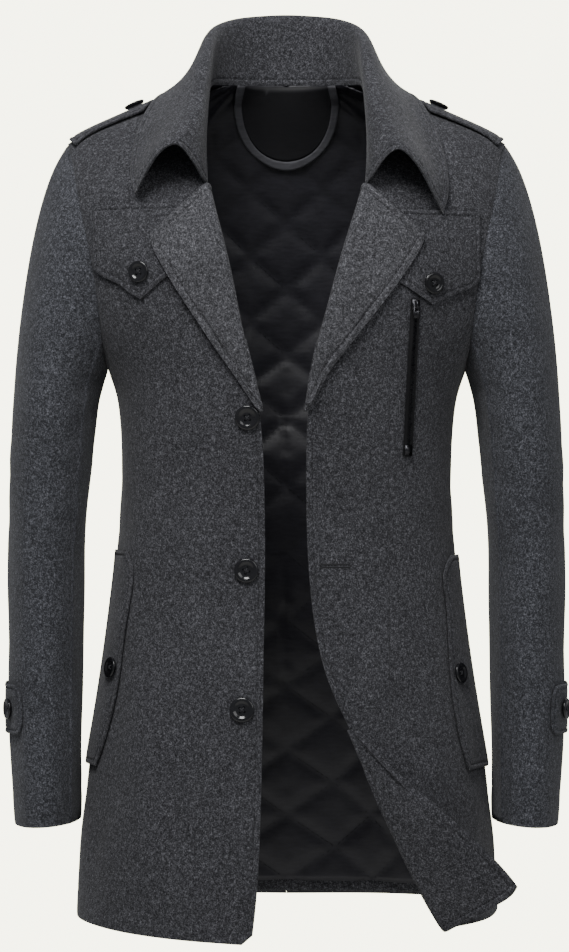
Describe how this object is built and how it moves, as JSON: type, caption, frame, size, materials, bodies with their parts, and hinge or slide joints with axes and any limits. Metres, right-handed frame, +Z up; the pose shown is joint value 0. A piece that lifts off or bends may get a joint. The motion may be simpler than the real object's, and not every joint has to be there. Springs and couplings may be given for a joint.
{
  "type": "pea coat",
  "caption": "Mid-length wool coat, filled out and open at the front, with notched lapels, epaulettes, chest and side flaps, a chest zip and buttoned cuff straps",
  "frame": {"origin": "centre of the neck opening at the base of the neck, where the neck and shoulders hold the coat", "axes": "+Z up, the front faces -Y, +X towards the right of someone who looks at the front"},
  "size_m": [0.5628, 0.2963, 0.9191],
  "materials": {
    "wool": "charcoal wool melange, milled",
    "facing_wool": "charcoal wool, a little lighter",
    "lining": "black quilted satin",
    "binding": "grey bias tape",
    "button": "polished black horn look",
    "tape": "black woven tape",
    "metal": "blackened"
  },
  "bodies": {
    "coat": {"back_left": "wool", "back_right": "wool", "button_chest_left": "button", "button_chest_right": "button", "button_cuff_left": "button", "button_cuff_right": "button", "button_epaulette_left": "button", "button_epaulette_right": "button", "button_front_1": "button", "button_front_2": "button", "button_front_3": "button", "button_pocket_left": "button", "button_pocket_right": "button", "chest_flap_left": "wool", "chest_flap_right": "wool", "collar": "wool", "cuff_strap_left": "wool", "cuff_strap_right": "wool", "epaulette_left": "wool", "epaulette_right": "wool", "front_left": "wool", "front_right": "wool", "hem_band": "wool", "lapel_left": "facing_wool", "lapel_right": "facing_wool", "lining_back": "lining", "neck_binding": "binding", "neck_facing": "lining", "pocket_flap_left": "wool", "pocket_flap_right": "wool", "sleeve_top_left": "wool", "sleeve_top_right": "wool", "sleeve_under_left": "wool", "sleeve_under_right": "wool", "turnback_right": "facing_wool", "zip_slider": "metal", "zip_stop": "metal", "zip_tape": "tape"},
    "pull_tab": {"zip_pull": "metal"}
  },
  "joints": [
    {"name": "pull_tab_hinge", "type": "hinge", "parent": "coat", "child": "pull_tab", "pos_m": [0.12515, -0.11634, -0.20784], "axis": [-0.9381, -0.3432, 0.0469], "range_deg": [0, 115]}
  ]
}
